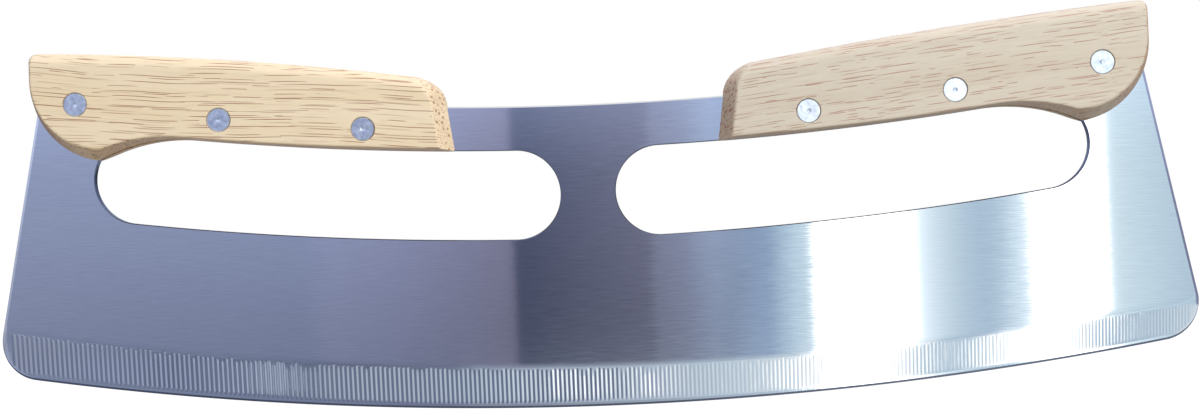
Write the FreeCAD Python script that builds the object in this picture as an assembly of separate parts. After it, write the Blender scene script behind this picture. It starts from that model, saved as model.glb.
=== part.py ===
import FreeCAD, Part
import math
import os

# Rocking pizza knife: a wide curved steel blade with two hand slots and riveted wooden scales above them.
# Lengths are in millimetres and angles in degrees. X runs along the blade, Y through its thickness, and Z
# goes up from the lowest point of the cutting edge. Edge, slots and bar share one rocking centre.

# Blade plate
rocking_radius = 1040.0
blade_width = 355.6
blade_thickness = 2.0
side_flare_angle = 11.0
lower_corner_radius = 11.5

# Ground cutting edge: bevel and cross-ground flutes both grow narrower from left to right
bevel_left_height = 12.7
bevel_middle_height = 10.9
bevel_right_height = 9.0
edge_land_width = 0.4
edge_strip_height = 0.4
flute_depth = 0.08
flute_left_pitch = 1.47
flute_middle_pitch = 1.3
flute_right_pitch = 0.9

# Hand slots, each a curved stadium that follows the edge, with the steel left round them
slot_width = 26.5
band_height = 50.1
bar_height = 13.2
web_width = 16.4
cheek_width = 30.0

# Wooden scales, measured on the right-hand side; depths and drops are taken from the slot's roof
scale_thickness = 7.0
handle_gap_width = 78.4
scale_end_lean_angle = 8.0
scale_side_margin = 11.4
front_inner_corner_radius = 6.2
front_outer_corner_radius = 1.2
finger_curve_length = 48.0
finger_hook_radius = 24.0
finger_hook_tip_angle = 9.5
finger_hook_depth = 8.7
end_rake_depth = 3.3
grip_rake_depth = 0.3
top_round_radius = 4.0
front_edge_break_width = 0.5

# Top lines of the two hand-shaped handles: the left one is crowned, the right one is almost straight
left_inner_depth = 20.4
left_outer_depth = 20.2
left_crown_radius = 980.0
right_inner_depth = 20.7
right_outer_depth = 22.4
right_crown_radius = 1500.0

# Steel tang, hidden between the scales
tang_inset_depth = 0.5

# Two-part rivets: a post from the front, pressed into a sleeve from behind
rivet_names = ["inner", "middle", "outer"]
rivet_inner_margin = 25.8
rivet_outer_margin = 16.6
rivet_inner_height = 5.7
rivet_outer_height = 6.8
rivet_head_diameter = 7.0
rivet_head_thickness = 1.5
rivet_head_bevel_width = 0.25
rivet_dimple_diameter = 2.6
rivet_dimple_depth = 0.3
sleeve_diameter = 5.0
post_diameter = 3.4
post_tip_gap = 0.6
sleeve_mouth_gap = 0.4
rivet_clearance = 0.05

# Cutting tools run past the solid by this much
overrun_length = 5.0

half_width = blade_width / 2
half_thickness = blade_thickness / 2
scale_front = half_thickness + scale_thickness
scale_inner_end = handle_gap_width / 2
scale_outer_reach = half_width - scale_side_margin
head_seat = rivet_head_thickness - scale_front
slot_floor_radius = rocking_radius - band_height
slot_line_radius = slot_floor_radius - slot_width / 2
slot_roof_radius = slot_floor_radius - slot_width
bar_top_radius = slot_roof_radius - bar_height
handle_tops = {
    "left": (left_inner_depth, left_outer_depth, left_crown_radius),
    "right": (right_inner_depth, right_outer_depth, right_crown_radius),
}
along_x = FreeCAD.Vector(1, 0, 0)
along_y = FreeCAD.Vector(0, 1, 0)
rocking_centre = FreeCAD.Vector(0, 0, rocking_radius)


def flat(x, z):
    """A point of an outline, in the middle plane of the blade."""
    return FreeCAD.Vector(x, 0, z)


def mirrored(shape, normal):
    """The shape's twin on the other side of a plane through the origin."""
    return shape.mirror(FreeCAD.Vector(0, 0, 0), normal)


def below_centre(radius, x):
    """The lower point at this X of a circle about the rocking centre."""
    return flat(x, rocking_radius - math.sqrt(radius ** 2 - x ** 2))


def on_ray(centre, towards, radius):
    """The point at this radius from a centre, in the direction of another point."""
    return centre + (towards - centre).normalize() * radius


def circles_meet(centre_a, radius_a, centre_b, radius_b, side):
    """Where two circles cross; side 1 is to the left of the way from a to b, seen from the front."""
    gap = (centre_b - centre_a).Length
    forward = (gap ** 2 + radius_a ** 2 - radius_b ** 2) / (2 * gap)
    sideways = math.sqrt(radius_a ** 2 - forward ** 2)
    way = (centre_b - centre_a).normalize()
    return centre_a + way * forward + flat(-way.z, way.x) * sideways * side


def line_meets_circle(start, way, centre, radius, side):
    """Where a line crosses a circle; side 1 is the crossing further along the line's way."""
    foot = start + way * (centre - start).dot(way)
    half_chord = math.sqrt(radius ** 2 - (centre - foot).Length ** 2)
    return foot + way * half_chord * side


def arc(start, centre, radius, end):
    """The shorter arc about a centre from one point to another."""
    return Part.Arc(start, on_ray(centre, (start + end) / 2, radius), end).toShape()


def plate(edges, thickness):
    """A plate of this outline, with half its thickness on each side of the middle plane."""
    face = Part.Face(Part.Wire(edges))
    face.translate(along_y * (-thickness / 2))
    return face.extrude(along_y * thickness)


def round_hole(place, diameter, near, far):
    """A hole's cutting tool along Y between two depths."""
    return Part.makeCylinder(diameter / 2, far - near, place + along_y * near, along_y)


def blade_outline():
    """The plate below the bar's top line: curved edge, rounded lower corners, flared sides."""
    corner = below_centre(rocking_radius - lower_corner_radius, half_width - lower_corner_radius)
    flare = math.radians(side_flare_angle)
    edge_end = on_ray(rocking_centre, corner, rocking_radius)
    side_start = corner + flat(math.cos(flare), math.sin(flare)) * lower_corner_radius
    up_side = flat(-math.sin(flare), math.cos(flare))
    side_end = line_meets_circle(side_start, up_side, rocking_centre, bar_top_radius, -1)
    right = [
        arc(edge_end, corner, lower_corner_radius, side_start),
        Part.makeLine(side_start, side_end),
    ]
    left = [mirrored(edge, along_x) for edge in reversed(right)]
    edge_line = arc(flat(-edge_end.x, edge_end.z), rocking_centre, rocking_radius, edge_end)
    bar_line = arc(side_end, rocking_centre, bar_top_radius, flat(-side_end.x, side_end.z))
    return [edge_line] + right + [bar_line] + left


def slot_outline():
    """The right-hand slot: two arcs about the rocking centre, joined by round ends."""
    inner = below_centre(slot_line_radius, (web_width + slot_width) / 2)
    outer = below_centre(slot_line_radius, half_width - cheek_width - slot_width / 2)
    reach = (outer - inner).normalize() * (slot_width / 2)
    roof_inner = on_ray(rocking_centre, inner, slot_roof_radius)
    roof_outer = on_ray(rocking_centre, outer, slot_roof_radius)
    floor_inner = on_ray(rocking_centre, inner, slot_floor_radius)
    floor_outer = on_ray(rocking_centre, outer, slot_floor_radius)
    return [
        arc(floor_inner, rocking_centre, slot_floor_radius, floor_outer),
        Part.Arc(floor_outer, outer + reach, roof_outer).toShape(),
        arc(roof_outer, rocking_centre, slot_roof_radius, roof_inner),
        Part.Arc(roof_inner, inner - reach, floor_inner).toShape(),
    ]


def crown_circle(side):
    """The centre and radius of a handle's top line, drawn as if it were the right-hand one."""
    inner_depth, outer_depth, radius = handle_tops[side]
    inner_top = below_centre(slot_roof_radius, scale_inner_end) + flat(0, inner_depth)
    outer_top = below_centre(slot_roof_radius, scale_outer_reach) + flat(0, outer_depth)
    return circles_meet(inner_top, radius, outer_top, radius, -1), radius


def scale_outline(side, ends_in, top_in, grip_in):
    """A scale's outline on the right, drawn in from its full size at its ends, its top and its grip."""
    lean = math.radians(scale_end_lean_angle)
    up_end = flat(math.sin(lean), math.cos(lean))
    outwards = flat(math.cos(lean), -math.sin(lean))
    crown, full_crown_radius = crown_circle(side)
    crown_radius = full_crown_radius - top_in
    grip_radius = slot_roof_radius - grip_in
    hook_roof = below_centre(slot_roof_radius, scale_outer_reach - finger_hook_radius)
    hook_centre = hook_roof + flat(0, finger_hook_radius - finger_hook_depth)
    hook_radius = finger_hook_radius - ends_in
    tip_angle = math.radians(finger_hook_tip_angle * (1 - ends_in / end_rake_depth))
    inner_round = front_inner_corner_radius + end_rake_depth - ends_in
    outer_round = front_outer_corner_radius + end_rake_depth - ends_in

    end_foot = below_centre(slot_roof_radius, scale_inner_end) + outwards * ends_in
    heel = line_meets_circle(end_foot, up_end, rocking_centre, grip_radius, -1)
    grip_end = below_centre(grip_radius, scale_outer_reach - finger_curve_length)
    hook_tip = hook_centre + flat(math.sin(tip_angle), -math.cos(tip_angle)) * hook_radius
    down = (grip_end - rocking_centre).normalize()
    finger_chord = hook_tip - grip_end
    finger_radius = finger_chord.dot(finger_chord) / (2 * finger_chord.dot(down))
    finger_centre = grip_end + down * finger_radius
    side_foot = hook_centre + flat(hook_radius, 0)
    outer_round_centre = line_meets_circle(
        side_foot - flat(outer_round, 0), flat(0, 1), crown, crown_radius - outer_round, 1)
    side_top = outer_round_centre + flat(outer_round, 0)
    top_outer = on_ray(crown, outer_round_centre, crown_radius)
    inner_round_centre = line_meets_circle(
        end_foot + outwards * inner_round, up_end, crown, crown_radius - inner_round, 1)
    top_inner = on_ray(crown, inner_round_centre, crown_radius)
    end_top = inner_round_centre - outwards * inner_round
    return [
        arc(heel, rocking_centre, grip_radius, grip_end),
        arc(grip_end, finger_centre, finger_radius, hook_tip),
        arc(hook_tip, hook_centre, hook_radius, side_foot),
        Part.makeLine(side_foot, side_top),
        arc(side_top, outer_round_centre, outer_round, top_outer),
        arc(top_outer, crown, crown_radius, top_inner),
        arc(top_inner, inner_round_centre, inner_round, end_top),
        Part.makeLine(end_top, heel),
    ]


def rivet_places():
    """The rivets' places on the right: evenly spread along the handle, rising from the grip outwards."""
    first = scale_inner_end + rivet_inner_margin
    last = scale_outer_reach - rivet_outer_margin
    places = {}
    for order, name in enumerate(rivet_names):
        along_share = order / (len(rivet_names) - 1)
        rise = rivet_inner_height + (rivet_outer_height - rivet_inner_height) * along_share
        places[name] = below_centre(slot_roof_radius, first + (last - first) * along_share) + flat(0, rise)
    return places


def eased(left, middle, right, x):
    """A size that runs evenly curved along the blade, given at its left side, middle and right side."""
    share = x / half_width
    return middle + (right - left) / 2 * share + ((right + left) / 2 - middle) * share ** 2


def flute_places():
    """The X of every ridge and valley of the flutes in turn, from past the left side to past the right."""
    past_side = half_width + overrun_length
    places = [-past_side]
    while places[-1] < past_side:
        ridge = places[-1]
        pitch = eased(flute_left_pitch, flute_middle_pitch, flute_right_pitch, ridge)
        places += [ridge + pitch / 2, ridge + pitch]
    return places


def all_below(points, depth):
    """A closed wire at this depth, round a line of points across the blade and all below it."""
    floor = -overrun_length
    wire = Part.makePolygon(points + [flat(points[-1].x, floor), flat(points[0].x, floor), points[0]])
    wire.translate(along_y * depth)
    return wire


def bevel_tool():
    """What grinding takes off the rear face: a wedge between the bevel's top and the strip along the edge,
    whose valleys lie deeper than its ridges and so start higher on the face and end higher on the strip."""
    bevel_line = []
    edge_line = []
    for order, x in enumerate(flute_places()):
        height = eased(bevel_left_height, bevel_middle_height, bevel_right_height, x)
        slope = (height - edge_strip_height) / (half_thickness - edge_land_width / 2)
        rise = flat(0, flute_depth * slope * (order % 2))
        bevel_line.append(below_centre(rocking_radius - height, x) + rise)
        edge_line.append(below_centre(rocking_radius - edge_strip_height, x) + rise)
    sections = [all_below(edge_line, edge_land_width / 2), all_below(bevel_line, half_thickness)]
    return Part.makeLoft(sections, True, True)


def tang_lug(side):
    """The part of the plate between a right-hand handle's scales, which keeps a little inside them."""
    return plate(scale_outline(side, tang_inset_depth, tang_inset_depth, tang_inset_depth), blade_thickness)


def make_blade():
    """One plate with its tang lugs, hand slots and rivet holes, ground to an edge from both faces."""
    slot = plate(slot_outline(), blade_thickness + 2 * overrun_length)
    bevel = bevel_tool()
    tools = [slot, mirrored(slot, along_x), bevel, mirrored(bevel, along_y)]
    for place in rivet_places().values():
        hole = round_hole(place, sleeve_diameter + 2 * rivet_clearance, -overrun_length, overrun_length)
        tools += [hole, mirrored(hole, along_x)]
    lugs = [tang_lug("right"), mirrored(tang_lug("left"), along_x)]
    blank = plate(blade_outline(), blade_thickness).fuse(lugs)
    return blank.removeSplitter().cut(tools)


def top_round_tool(side):
    """What a quarter-round cutter takes off the handle's upper front edge, along its top line."""
    crown, crown_radius = crown_circle(side)
    top = crown.z + crown_radius
    round_start = top - top_round_radius
    inner = top_round_radius - scale_front
    past_front = -scale_front - overrun_length
    bulge = top_round_radius * math.sin(math.radians(45))
    corner = Part.Arc(
        FreeCAD.Vector(crown.x, -scale_front, round_start),
        FreeCAD.Vector(crown.x, inner - bulge, round_start + bulge),
        FreeCAD.Vector(crown.x, inner, top)).toShape()
    outside = Part.makePolygon([
        FreeCAD.Vector(crown.x, inner, top),
        FreeCAD.Vector(crown.x, inner, top + overrun_length),
        FreeCAD.Vector(crown.x, past_front, top + overrun_length),
        FreeCAD.Vector(crown.x, past_front, round_start),
        FreeCAD.Vector(crown.x, -scale_front, round_start),
    ])
    half_angle = 2 * math.degrees(math.asin((scale_outer_reach - crown.x) / crown_radius))
    face = Part.Face(Part.Wire([corner] + outside.Edges))
    face.rotate(crown, along_y, -half_angle)
    return face.revolve(crown, along_y, 2 * half_angle)


def scale_section(side, depth, edge_in):
    """A scale's outline at a depth behind its front face, raked there and drawn in by a broken edge."""
    rake_share = 1 - depth / scale_thickness
    ends_in = end_rake_depth * rake_share + edge_in
    grip_in = grip_rake_depth * rake_share + edge_in
    section = Part.Wire(scale_outline(side, ends_in, edge_in, grip_in))
    section.translate(along_y * (depth - scale_front))
    return section


def make_scale(side):
    """A right-hand scale on the front face: raked ends, rounded top edge, counterbored rivet holes."""
    block = Part.makeLoft([
        scale_section(side, scale_thickness, 0),
        scale_section(side, front_edge_break_width, 0),
        scale_section(side, 0, front_edge_break_width),
    ], True, True)
    past_front = -scale_front - overrun_length
    tools = [top_round_tool(side)]
    for place in rivet_places().values():
        tools.append(round_hole(place, sleeve_diameter + 2 * rivet_clearance, past_front, overrun_length))
        tools.append(round_hole(place, rivet_head_diameter + 2 * rivet_clearance, past_front, head_seat))
    return block.cut(tools)


def rivet_half(shank, place):
    """One rivet half, turned about its axis: a dimpled head in front, then the shank's points (radius, y)."""
    head_radius = rivet_head_diameter / 2
    dimple_radius = rivet_dimple_diameter / 2
    dimple_floor = FreeCAD.Vector(0, rivet_dimple_depth - scale_front, 0)
    outline = Part.makePolygon([
        dimple_floor,
        FreeCAD.Vector(dimple_radius, -scale_front, 0),
        FreeCAD.Vector(head_radius - rivet_head_bevel_width, -scale_front, 0),
        FreeCAD.Vector(head_radius, rivet_head_bevel_width - scale_front, 0),
        FreeCAD.Vector(head_radius, head_seat, 0),
        *[FreeCAD.Vector(radius, y, 0) for radius, y in shank],
        dimple_floor,
    ])
    solid = Part.Face(outline).revolve(FreeCAD.Vector(0, 0, 0), along_y, 360)
    solid.translate(place)
    return solid


def make_post(place):
    """The solid half, whose head shows in front and whose shank stops short of the sleeve's floor."""
    tip = -head_seat - post_tip_gap
    return rivet_half([(post_diameter / 2, head_seat), (post_diameter / 2, tip), (0, tip)], place)


def make_sleeve(place):
    """The hollow half, turned round so that its head shows behind and its mouth faces the post's head."""
    mouth = -head_seat - sleeve_mouth_gap
    bore_radius = post_diameter / 2 + rivet_clearance
    shank = [
        (sleeve_diameter / 2, head_seat),
        (sleeve_diameter / 2, mouth),
        (bore_radius, mouth),
        (bore_radius, head_seat),
        (0, head_seat),
    ]
    return mirrored(rivet_half(shank, place), along_y)


def make_handle(side):
    """A handle's pieces by name, made on the right: two scales and three rivets."""
    pieces = {"front_scale": make_scale(side)}
    pieces["rear_scale"] = mirrored(pieces["front_scale"], along_y)
    for name, place in rivet_places().items():
        pieces[name + "_rivet_post"] = make_post(place)
        pieces[name + "_rivet_sleeve"] = make_sleeve(place)
    return pieces


def make_parts():
    """Every piece of the knife by name; the left-hand handle is mirrored into its place."""
    pieces = {"blade": make_blade()}
    for name, shape in make_handle("right").items():
        pieces["right_" + name] = shape
    for name, shape in make_handle("left").items():
        pieces["left_" + name] = mirrored(shape, along_x)
    return pieces


if __name__ == "__main__":
    os.makedirs("parts", exist_ok=True)
    for name, shape in make_parts().items():
        shape.exportStep("parts/" + name + ".step")
        print(name, shape.isValid(), len(shape.Solids), len(shape.Faces), round(shape.Volume, 1))
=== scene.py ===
import bmesh
import bpy
import numpy as np
from mathutils import Matrix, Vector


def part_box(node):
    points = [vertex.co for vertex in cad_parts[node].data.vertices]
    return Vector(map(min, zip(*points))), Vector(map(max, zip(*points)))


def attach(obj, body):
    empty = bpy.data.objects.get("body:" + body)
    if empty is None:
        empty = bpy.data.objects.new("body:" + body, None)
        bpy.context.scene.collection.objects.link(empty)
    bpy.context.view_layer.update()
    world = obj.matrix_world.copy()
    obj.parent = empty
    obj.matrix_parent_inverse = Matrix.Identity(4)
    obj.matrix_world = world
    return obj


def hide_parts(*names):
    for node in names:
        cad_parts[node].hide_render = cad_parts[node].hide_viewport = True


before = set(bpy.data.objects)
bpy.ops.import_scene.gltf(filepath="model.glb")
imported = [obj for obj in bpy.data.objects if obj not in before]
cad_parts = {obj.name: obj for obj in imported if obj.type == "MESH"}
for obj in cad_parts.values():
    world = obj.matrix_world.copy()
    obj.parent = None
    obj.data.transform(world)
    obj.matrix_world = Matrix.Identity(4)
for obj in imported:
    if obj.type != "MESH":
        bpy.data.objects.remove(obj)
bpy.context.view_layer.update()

# The blade is one plate of stainless steel, brushed lengthwise, with a hand slot punched under each handle.
# Its curved lower edge is ground across from both faces, which leaves a band of fine upright flutes.
# Lugs of the plate run up between the wooden scales, where the rivets hold them. Sizes are in millimetres.
mm = 0.001
half_width, half_thickness = (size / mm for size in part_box("blade")[1][:2])
rocking_radius = 1040.0
rocking_centre = np.array([0.0, rocking_radius])
lower_corner_radius = 11.5
side_flare = np.radians(11.0)
edge_break, side_break, slot_break, tip_break = 0.45, 0.9, 0.25, 0.65
slot_width = 26.5
slot_floor_height = 50.1
bar_height = 13.2
web_width = 16.4
cheek_width = 30.0

slot_end_radius = slot_width / 2
slot_line_radius = rocking_radius - slot_floor_height - slot_end_radius
grip_line_radius = slot_line_radius - slot_end_radius
bar_top_radius = grip_line_radius - bar_height
slot_angles = np.arcsin(np.array([web_width / 2 + slot_end_radius,
                                  half_width - cheek_width - slot_end_radius]) / slot_line_radius)
corner_centre_x = half_width - lower_corner_radius
edge_end_x = corner_centre_x * rocking_radius / (rocking_radius - lower_corner_radius)


def circle_height(radius, x):
    """Height of a circle about the rocking centre: the rocking radius less the root of radius squared minus
    x squared."""
    return rocking_radius - np.sqrt(radius**2 - x**2)


def eased(values, x):
    """A size that runs along the blade on the parabola through its left, middle and right values."""
    left, middle, right = values
    share = x / half_width
    return middle + (right - left) / 2 * share + ((left + right) / 2 - middle) * share**2


def arc(centre, start, end, count):
    """Even points of the shorter circle arc from start to end about a centre."""
    first, last = (np.arctan2(*(point - centre)[::-1]) for point in (start, end))
    turn = (last - first + np.pi) % (2 * np.pi) - np.pi
    angle = first + turn * np.linspace(0, 1, count)
    return centre + np.hypot(*(start - centre)) * np.stack([np.cos(angle), np.sin(angle)], axis=1)


def crossing(point, direction, centre, radius, root):
    """Where a straight line meets a circle: its foot nearest the centre, plus or minus the half chord."""
    along = (centre - point) @ direction
    off = centre - point - along * direction
    return point + (along + root * np.sqrt(radius**2 - off @ off)) * direction


def unit(vector):
    """A vector, or each of many, over its length."""
    return vector / np.linalg.norm(vector, axis=-1, keepdims=True)


# A handle's outline, drawn for the right hand: the scales follow it and the lugs lie just inside it.
# The palm side is a long crown. The finger side follows the hand slot, then hooks round the little finger.
inner_end_x = 39.2
outer_end_x = 166.4
inner_end_lean = np.radians(8.0)
finger_curve_length = 48.0
hook_radius, hook_depth, hook_tip_angle = 24.0, 8.7, np.radians(9.5)
end_rake, grip_rake = 3.3, 0.3
inner_corner_radius, outer_corner_radius = 6.2, 1.2
crowns = {"left": (20.4, 20.2, 980.0), "right": (20.7, 22.4, 1500.0)}
outline_points = {"grip": 61, "finger": 41, "hook": 31, "side": 9, "outer_corner": 9, "crown": 91,
                  "inner_corner": 25, "inner_end": 17}
lug_inset = 0.5


def handle_corners(side, ends_in, top_in, grip_in):
    """Corner points and arc centres of a handle's outline, cut back so far at its ends, its palm side and its
    finger side."""
    inner_depth, outer_depth, crown_radius = crowns[side]
    roof = {x: np.array([x, circle_height(grip_line_radius, x)]) for x in (inner_end_x, outer_end_x)}
    first, last = roof[inner_end_x] + [0, inner_depth], roof[outer_end_x] + [0, outer_depth]
    chord = (last - first) / 2
    sag = np.sqrt(crown_radius**2 - chord @ chord)
    crown = (first + last) / 2 - sag * unit(np.array([-chord[1], chord[0]]))
    crown_radius -= top_in

    up_end = np.array([np.sin(inner_end_lean), np.cos(inner_end_lean)])
    outwards = np.array([up_end[1], -up_end[0]])
    end_foot = roof[inner_end_x] + outwards * ends_in
    hook_x = outer_end_x - hook_radius
    hook = np.array([hook_x, circle_height(grip_line_radius, hook_x) + hook_radius - hook_depth])
    hook_in = hook_radius - ends_in
    tip_angle = hook_tip_angle * (1 - ends_in / end_rake)
    grip_radius = grip_line_radius - grip_in
    grip_end_x = outer_end_x - finger_curve_length
    grip_end = np.array([grip_end_x, circle_height(grip_radius, grip_end_x)])
    tip = hook + hook_in * np.array([np.sin(tip_angle), -np.cos(tip_angle)])
    down = unit(grip_end - rocking_centre)
    finger_radius = (tip - grip_end) @ (tip - grip_end) / (2 * (tip - grip_end) @ down)

    side_foot = hook + [hook_in, 0]
    outer_round = outer_corner_radius + end_rake - ends_in
    outer_centre = crossing(side_foot - [outer_round, 0], np.array([0.0, 1.0]), crown,
                            crown_radius - outer_round, 1)
    inner_round = inner_corner_radius + end_rake - ends_in
    inner_centre = crossing(end_foot + outwards * inner_round, up_end, crown, crown_radius - inner_round, 1)
    return {
        "heel": crossing(end_foot, up_end, rocking_centre, grip_radius, -1),
        "bar_meet": crossing(end_foot, up_end, rocking_centre, bar_top_radius, -1),
        "grip_end": grip_end, "finger_centre": grip_end + down * finger_radius, "tip": tip,
        "hook": hook, "side_foot": side_foot, "side_top": outer_centre + [outer_round, 0],
        "outer_centre": outer_centre, "top_outer": crown + unit(outer_centre - crown) * crown_radius,
        "crown": crown, "top_inner": crown + unit(inner_centre - crown) * crown_radius,
        "inner_centre": inner_centre, "end_top": inner_centre - outwards * inner_round,
    }


def palm_side(at):
    """The outline from the little finger's end, up, over the crown and round to the inner end's top."""
    return [np.linspace(at["side_foot"], at["side_top"], outline_points["side"]),
            arc(at["outer_centre"], at["side_top"], at["top_outer"], outline_points["outer_corner"])[1:],
            arc(at["crown"], at["top_outer"], at["top_inner"], outline_points["crown"])[1:],
            arc(at["inner_centre"], at["top_inner"], at["end_top"], outline_points["inner_corner"])[1:]]


# The ground edge: each face rolls off and then slopes in to a thin plain strip at the edge.
# The wheel was drawn across it again and again, so side by side lie shallow hollows that meet in low ridges.
# How steep their walls are changes along the blade, and so does how brightly they catch the light.
bevel_heights = (13.6, 11.8, 9.9)
flute_pitches = (1.47, 1.3, 0.9)
flute_slopes = ((-178, 0.09), (-150, 0.08), (-135, 0.1), (-120, 0.125), (-105, 0.135), (-96, 0.138),
                (-86, 0.14), (-80, 0.15), (-66, 0.155), (-52, 0.14), (-38, 0.13), (-24, 0.16), (-10, 0.16),
                (4, 0.125), (17, 0.1), (31, 0.042), (45, 0.022), (70, 0.012), (140, 0.012), (178, 0.022))
flute_shape = (0.0, 0.07, 0.43, 0.5, 0.57, 0.93)
flute_unevenness = 0.05
flute_run_in, flute_run_out = 0.5, 1.0
flute_end_room = 0.7
roll_reach = 1.6
strip_height = 1.3
strip_thickness = 0.4
thinnest_share = 0.4
fan_width, fan_columns = 3.0, 16
# Rows of the grid: millimetres over the edge, shares of the bevel's height, and millimetres about its top.
rows_over_edge = (0, 0.3, 0.65, 0.9, 1.3, 1.65, 2.0, 2.4)
rows_up_bevel = (0.35, 0.55, 0.75)
rows_about_top = (-1.6, -0.8, -0.6, -0.45, -0.3, -0.15, 0, 0.4, 0.8, 1.2, 1.6)
rim_points = {"corner": 60, "flank": 60, "hook": 12, "lug_end": 10, "bar": 50, "middle": 60}
ruler_marks, wheel_seed = 20001, 5

fan_start = half_width - fan_width
ruler = np.linspace(-fan_start, fan_start, ruler_marks)
flute_count = np.concatenate([[0], np.cumsum(np.diff(ruler) / eased(flute_pitches, ruler[1:]))])
wheel = np.random.default_rng(wheel_seed)
flute_strength = 1 + flute_unevenness * wheel.uniform(-1, 1, int(flute_count[-1]) + 2)
flute_short = flute_end_room * wheel.uniform(0, 1, len(flute_strength))
corner_centre = np.array([corner_centre_x,
                          circle_height(rocking_radius - lower_corner_radius, corner_centre_x)])
side_normal = np.array([np.cos(side_flare), np.sin(side_flare)])


def smooth(share):
    """A soft step from 0 to 1: three squares less two cubes."""
    share = np.clip(share, 0, 1)
    return share**2 * (3 - 2 * share)


def rim_break(x, z):
    """How far across the lower outline's broken edge a place lies, from 0 inside to 1 at the rim. It is
    narrow along the cutting edge, wide up the flared sides, and widens round the corner between them."""
    from_corner = np.stack([np.abs(x) - corner_centre[0], z - corner_centre[1]], axis=-1)
    to_side = from_corner @ side_normal
    to_edge = from_corner @ unit(corner_centre - rocking_centre)
    straight = np.minimum(z - circle_height(rocking_radius, x), lower_corner_radius - to_side)
    rounded = lower_corner_radius - np.linalg.norm(from_corner, axis=-1)
    inside = np.where((to_side > 0) & (to_edge > 0), rounded, straight)
    sideways, downwards = np.clip(to_side, 1e-9, None), np.clip(to_edge, 0, None)
    width = tip_break + (side_break - tip_break) * smooth(sideways / (sideways + downwards))
    return np.clip(1 - inside / np.where(to_side > 0, width, tip_break), 0, 1)


def ground_depth(x, z):
    """How deep a face is ground at a place: a plane that eases off the flat face along a parabola, with a
    shallow V hollowed across each flute, and then the broken rim."""
    above = z - circle_height(rocking_radius, x)
    height = eased(bevel_heights, x)
    slope = (half_thickness - strip_thickness / 2) / (height - strip_height)
    below = height - np.maximum(above, strip_height)
    rolled = (below + roll_reach)**2 / (4 * roll_reach)
    bevel = slope * np.where(np.abs(below) < roll_reach, rolled, np.clip(below, 0, None))
    count = np.interp(x, ruler, flute_count)
    flute = count.astype(int)
    hollow = flute_strength[flute] * np.interp(x, *zip(*flute_slopes)) * eased(flute_pitches, x) / 2
    hollow = hollow * (1 - np.abs(2 * (count % 1) - 1)) * smooth((below - flute_short[flute]) / flute_run_in)
    depth = bevel + hollow * smooth((above - strip_height) / flute_run_out)
    broken = np.minimum(edge_break, (1 - thinnest_share) * (half_thickness - depth))
    return depth + broken * rim_break(x, z)


def shoulder_height(x):
    """Height at which the flat face begins: edge, bevel, roll-off and side break, one on the other."""
    return circle_height(rocking_radius, x) + eased(bevel_heights, x) + roll_reach + side_break


def lift(path, depth):
    """A path drawn on the blade's plane, set at a depth through the blade."""
    return np.stack([path[:, 0], np.broadcast_to(depth, len(path)), path[:, 1]], axis=1)


def flank(side):
    """The blade's end, upwards: the lower corner's arc and the flared side up to where the lug leaves it.
    It is parted where the flat face begins, and both parts hold that point."""
    start = fan_start - corner_centre_x
    lowest = corner_centre + [start, -np.sqrt(lower_corner_radius**2 - start**2)]
    highest = corner_centre + lower_corner_radius * side_normal
    at = handle_corners(side, lug_inset, lug_inset, lug_inset)
    upwards = np.array([-np.sin(side_flare), np.cos(side_flare)])
    leave = crossing(highest, upwards, at["hook"], hook_radius - lug_inset, -1)
    path = np.concatenate([arc(corner_centre, lowest, highest, rim_points["corner"]),
                           np.linspace(highest, leave, rim_points["flank"])[1:]])
    gap = path[:, 1] - shoulder_height({"left": -1, "right": 1}[side] * path[:, 0])
    after = int(np.argmax(gap > 0))
    share = gap[after - 1] / (gap[after - 1] - gap[after])
    meet = path[after - 1] + share * (path[after] - path[after - 1])
    return np.vstack([path[:after], meet]), np.vstack([meet, path[path[:, 1] > meet[1] + side_break]])


def even_steps(path, count):
    """The same path, walked in even steps."""
    walked = np.concatenate([[0], np.cumsum(np.hypot(*np.diff(path, axis=0).T))])
    steps = np.linspace(0, walked[-1], count)
    return np.stack([np.interp(steps, walked, path[:, axis]) for axis in (0, 1)], axis=1)


def ground_band():
    """Grid of the ground edge on the front face, and the row at which its flutes end. Upright columns stand
    on the edge and the corners' arcs, and at each end some fan out to where flat face and end meet."""
    turns = (np.arange(int(flute_count[-1]))[:, None] + flute_shape).ravel()
    x = np.union1d(np.interp(turns, flute_count, ruler), [-fan_start, 0.0, fan_start])
    past = np.clip(np.abs(x) - corner_centre_x, 0, None)
    on_arc = corner_centre[1] - np.sqrt(lower_corner_radius**2 - past**2)
    low = np.stack([x, np.where(np.abs(x) < edge_end_x, circle_height(rocking_radius, x), on_arc)], axis=1)
    high = np.stack([x, shoulder_height(x)], axis=1)
    for side, sign in (("left", -1), ("right", 1)):
        fan_low = even_steps(flank(side)[0], fan_columns)[1:] * [sign, 1]
        meet = fan_low[-1]
        fan_x = np.linspace(sign * fan_start, meet[0] - sign * side_break, fan_columns - 1)[1:]
        fan_high = np.vstack([np.stack([fan_x, shoulder_height(fan_x)], axis=1), meet])
        low = np.vstack([low, fan_low] if sign > 0 else [fan_low[::-1], low])
        high = np.vstack([high, fan_high] if sign > 0 else [fan_high[::-1], high])
    height = eased(bevel_heights, high[:, 0])
    full = height + roll_reach + side_break
    near_edge = np.array(rows_over_edge)[:, None] + 0 * height
    between = np.array(rows_up_bevel)[:, None] * height
    near_top = height + np.array(rows_about_top)[:, None]
    share = np.vstack([near_edge, between, near_top, full[None]]) / full
    place = low + (high - low) * share[..., None]
    depth = half_thickness - ground_depth(place[..., 0], place[..., 1])
    depth[-1, 1:-1] = half_thickness
    flute_end = len(rows_over_edge) + len(rows_up_bevel) + rows_about_top.index(0)
    return np.stack([place[..., 0], -depth, place[..., 1]], axis=-1), flute_end


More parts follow.
